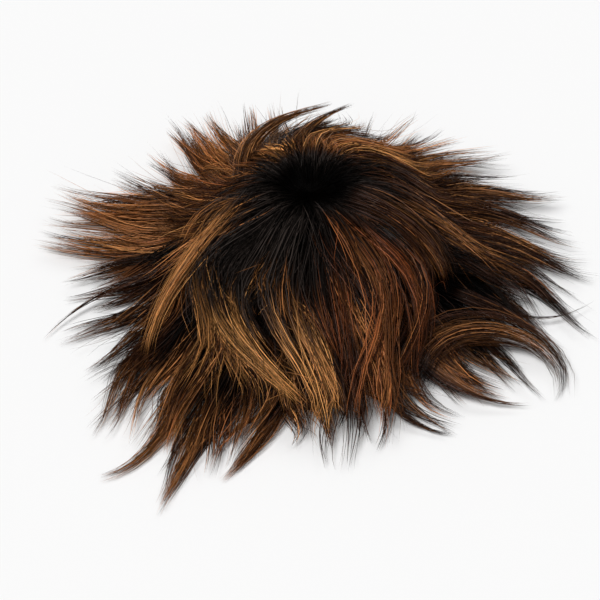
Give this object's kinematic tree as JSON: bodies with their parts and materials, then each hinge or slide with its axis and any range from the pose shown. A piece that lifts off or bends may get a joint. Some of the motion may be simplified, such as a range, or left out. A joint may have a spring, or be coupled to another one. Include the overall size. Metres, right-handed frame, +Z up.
{
  "type": "monofilament hair patch",
  "caption": "Hair patch for the top of the head: a thin oval net cap with layered brown hair locks that spread from a whorl, lying on its rim.",
  "frame": {"origin": "under the middle of the whole patch's bounding box, on the surface that it rests on", "axes": "+Z up, +Y towards the back of the patch, where the whorl is, +X to the right as the picture shows it, with the front of the patch nearest"},
  "size_m": [0.3842, 0.357, 0.0685],
  "materials": {
    "net": "matt fine dark-brown monofilament net",
    "crown_hair": "glossy brown hair, near black at its roots, with caramel streaks",
    "under_hair": "glossy brown hair, with golden-brown tips"
  },
  "bodies": {
    "root": {"net_base": "net", "crown_lock_1": "crown_hair", "crown_lock_2": "crown_hair", "crown_lock_3": "crown_hair", "crown_lock_4": "crown_hair", "crown_lock_5": "crown_hair", "crown_lock_6": "crown_hair", "crown_lock_7": "crown_hair", "crown_lock_8": "crown_hair", "crown_lock_9": "crown_hair", "crown_lock_10": "crown_hair", "crown_lock_11": "crown_hair", "crown_lock_12": "crown_hair", "crown_lock_13": "crown_hair", "crown_lock_14": "crown_hair", "crown_lock_15": "crown_hair", "crown_lock_16": "crown_hair", "back_lock_1": "under_hair", "back_lock_2": "under_hair", "back_lock_3": "under_hair", "back_lock_4": "under_hair", "back_lock_5": "under_hair", "left_lock_1": "under_hair", "left_lock_2": "under_hair", "left_lock_3": "under_hair", "left_lock_4": "under_hair", "left_lock_5": "under_hair", "left_lock_6": "under_hair", "left_lock_7": "under_hair", "front_lock_1": "under_hair", "front_lock_2": "under_hair", "front_lock_3": "under_hair", "front_lock_4": "under_hair", "front_lock_5": "under_hair", "front_lock_6": "under_hair", "front_lock_7": "under_hair", "front_lock_8": "under_hair", "right_lock_1": "under_hair", "right_lock_2": "under_hair", "right_lock_3": "under_hair", "right_lock_4": "under_hair", "right_lock_5": "under_hair", "right_lock_6": "under_hair", "right_lock_7": "under_hair"}
  },
  "joints": []
}
